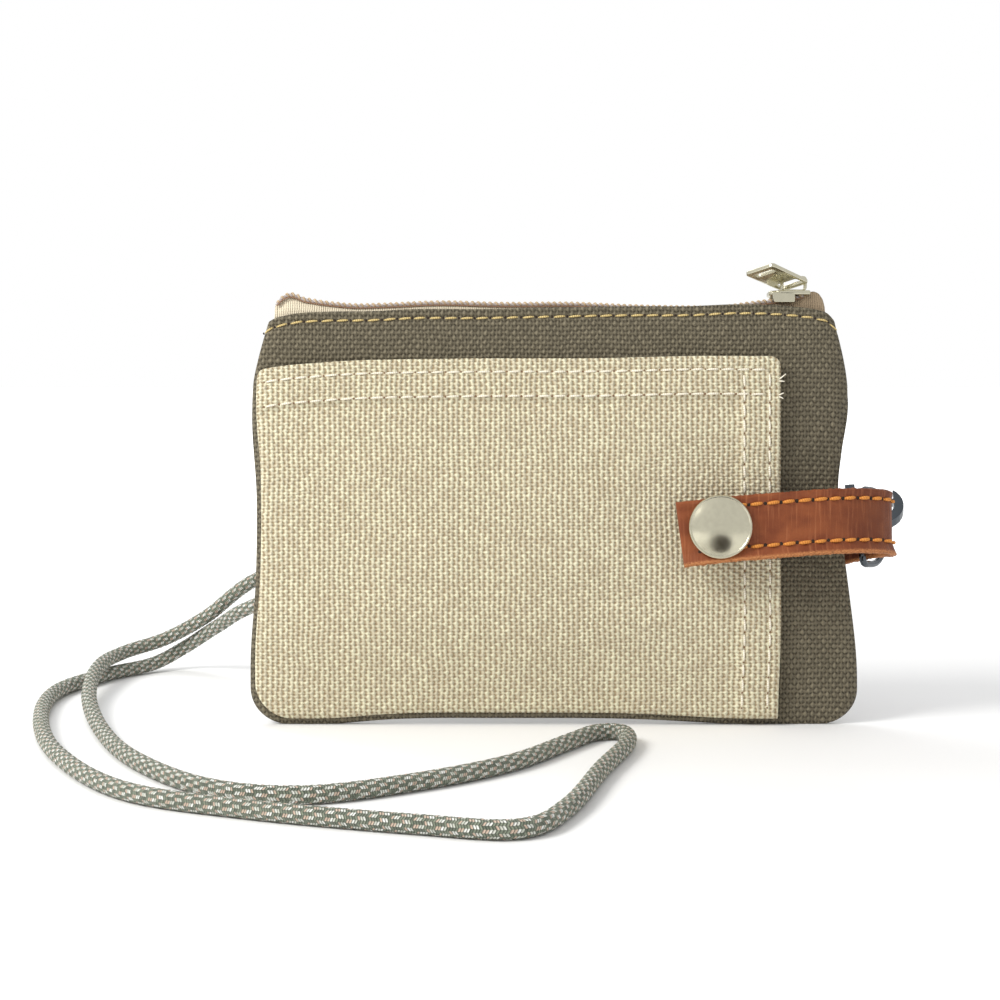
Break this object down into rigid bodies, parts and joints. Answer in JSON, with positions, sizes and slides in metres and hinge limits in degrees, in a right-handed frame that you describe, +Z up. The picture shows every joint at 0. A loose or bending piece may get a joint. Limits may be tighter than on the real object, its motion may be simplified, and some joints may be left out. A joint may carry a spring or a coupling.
{
  "type": "neck pouch wallet",
  "caption": "Flat zipped canvas pouch with a hemmed card pocket, a leather snap strap at the side, and a braided neck cord on a small swivel clasp.",
  "frame": {"origin": "on the resting surface, under the middle of the pouch", "axes": "+X to the pouch's right as seen from its front, -Y towards the front, +Z up; the pouch leans back 6 degrees"},
  "size_m": [0.1962, 0.1938, 0.0999],
  "materials": {
    "olive_canvas": "matte heavy plain weave",
    "beige_canvas": "matte heavy plain weave",
    "lining_cloth": "thin matte plain weave",
    "zip_tape": "ribbed polyester tape",
    "zip_coil": "nylon coil",
    "nickel": "polished nickel plate",
    "tan_leather": "pulled-up oiled leather with raw edges",
    "gunmetal": "dark plated metal",
    "cord_braid": "braided polyester"
  },
  "bodies": {
    "root": {"front_panel": "olive_canvas", "back_panel": "olive_canvas", "front_lining": "lining_cloth", "back_lining": "lining_cloth", "pocket_panel": "beige_canvas", "zip_tape_front": "zip_tape", "zip_tape_back": "zip_tape", "zip_coil_front": "zip_coil", "zip_coil_back": "zip_coil", "zip_bottom_stop": "nickel", "zip_top_stop_front": "nickel", "zip_top_stop_back": "nickel", "strap_back": "tan_leather", "snap_stud": "nickel", "snap_post": "nickel", "swivel_eye": "gunmetal", "cord_end_cap": "gunmetal", "neck_cord": "cord_braid"},
    "slider": {"slider_body": "nickel", "slider_crown": "nickel"},
    "pull": {"slider_pull": "nickel"},
    "strap_flap": {"strap_front": "tan_leather", "snap_cap": "nickel", "snap_socket": "nickel"},
    "ring": {"d_ring": "gunmetal"},
    "clasp": {"clasp_body": "gunmetal", "gate_pin": "gunmetal", "gate_spring": "gunmetal"},
    "gate": {"clasp_gate": "gunmetal"}
  },
  "joints": [
    {"name": "zip_slide", "type": "slide", "parent": "root", "child": "slider", "axis": [-1, 0, 0], "range_m": [0, 0.102]},
    {"name": "pull_hinge", "type": "hinge", "parent": "slider", "child": "pull", "pos_m": [0.0529, 0.01004, 0.09552], "axis": [-0.7177, 0.6535, -0.2406], "range_deg": [-14, 150]},
    {"name": "strap_open", "type": "hinge", "parent": "root", "child": "strap_flap", "pos_m": [0.0738, -0.00045, 0.00005], "axis": [0, 0.1045, 0.9945], "range_deg": [0, 160]},
    {"name": "ring_swing", "type": "hinge", "parent": "root", "child": "ring", "pos_m": [0.0678, 0.00189, -0.0002], "axis": [0, 0.1045, 0.9945], "range_deg": [-2, 8]},
    {"name": "clasp_swivel", "type": "hinge", "parent": "root", "child": "clasp", "pos_m": [0.0735, 0.01788, 0.04578], "axis": [0.9901, -0.1136, 0.0821], "range_deg": [-40, 5]},
    {"name": "gate_open", "type": "hinge", "parent": "clasp", "child": "gate", "pos_m": [0.06862, 0.02054, 0.04738], "axis": [-0.1379, -0.6837, 0.7166], "range_deg": [-18, 0], "stiffness_Nm_per_rad": 0.002, "springref_deg": 5.73}
  ]
}
